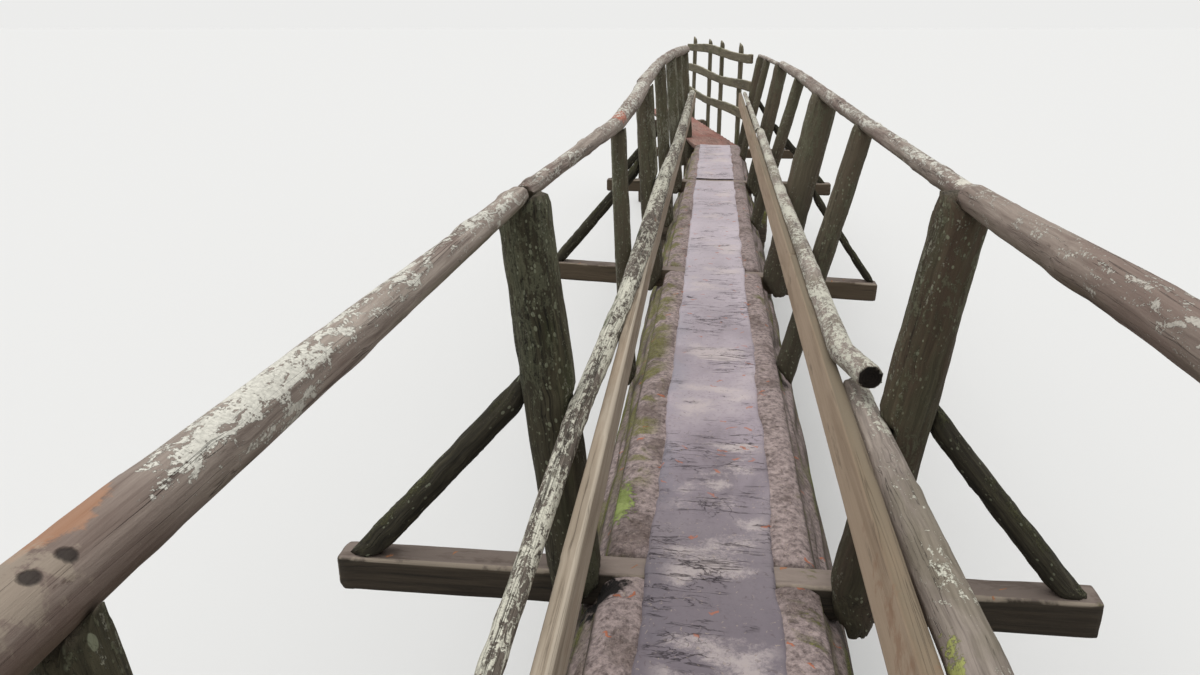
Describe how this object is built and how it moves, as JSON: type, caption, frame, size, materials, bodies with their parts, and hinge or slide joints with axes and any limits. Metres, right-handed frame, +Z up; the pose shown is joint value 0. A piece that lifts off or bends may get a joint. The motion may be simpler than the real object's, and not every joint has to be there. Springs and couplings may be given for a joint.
{
  "type": "footbridge",
  "caption": "Narrow timber footbridge: a great log hewn flat on top, cross beams, leaning round posts, knee braces and pole handrails, with a landing that turns left.",
  "frame": {"origin": "on the floor, under the middle of the first ground log of the near crib, on the walk's centre line", "axes": "+Y along the walk from the near end, +X to the walker's right, +Z up"},
  "size_m": [2.3499, 18.9613, 2.6933],
  "materials": {
    "log_wood": "matte",
    "beam_wood": "matte",
    "post_wood": "matte",
    "brace_wood": "matte",
    "handrail_wood": "matte",
    "pole_wood": "matte",
    "plank_wood": "matte",
    "tread_felt": "matte",
    "landing_wood": "matte",
    "fence_wood": "matte",
    "crib_wood": "matte"
  },
  "bodies": {
    "root": {"great_log": "log_wood", "landing_slab": "landing_wood", "tread_mat": "tread_felt", "fence_posts": "fence_wood", "fence_rails": "fence_wood", "cross_beam_1": "beam_wood", "post_left_1": "post_wood", "post_right_1": "post_wood", "knee_braces_1": "brace_wood", "cross_beam_2": "beam_wood", "post_left_2": "post_wood", "post_right_2": "post_wood", "knee_braces_2": "brace_wood", "cross_beam_3": "beam_wood", "post_left_3": "post_wood", "post_right_3": "post_wood", "knee_braces_3": "brace_wood", "cross_beam_4": "beam_wood", "post_left_4": "post_wood", "post_right_4": "post_wood", "knee_braces_4": "brace_wood", "cross_beam_5": "beam_wood", "post_left_5": "post_wood", "post_right_5": "post_wood", "knee_braces_5": "brace_wood", "slim_posts_1": "post_wood", "slim_posts_2": "post_wood", "slim_posts_3": "post_wood", "slim_posts_4": "post_wood", "handrail_left_near": "handrail_wood", "handrail_left_middle": "handrail_wood", "handrail_left_far": "handrail_wood", "pole_rail_left": "pole_wood", "plank_rail_left": "plank_wood", "handrail_right_near": "handrail_wood", "handrail_right_middle": "handrail_wood", "handrail_right_far": "handrail_wood", "pole_rail_right": "pole_wood", "plank_rail_right": "plank_wood", "crib_near_ground_logs": "crib_wood", "crib_near_sleepers": "crib_wood", "crib_near_saddle": "crib_wood", "crib_far_ground_logs": "crib_wood", "crib_far_sleepers": "crib_wood", "crib_far_saddle": "crib_wood", "sleeper_piles": "crib_wood", "landing_trestle": "crib_wood"}
  },
  "joints": []
}
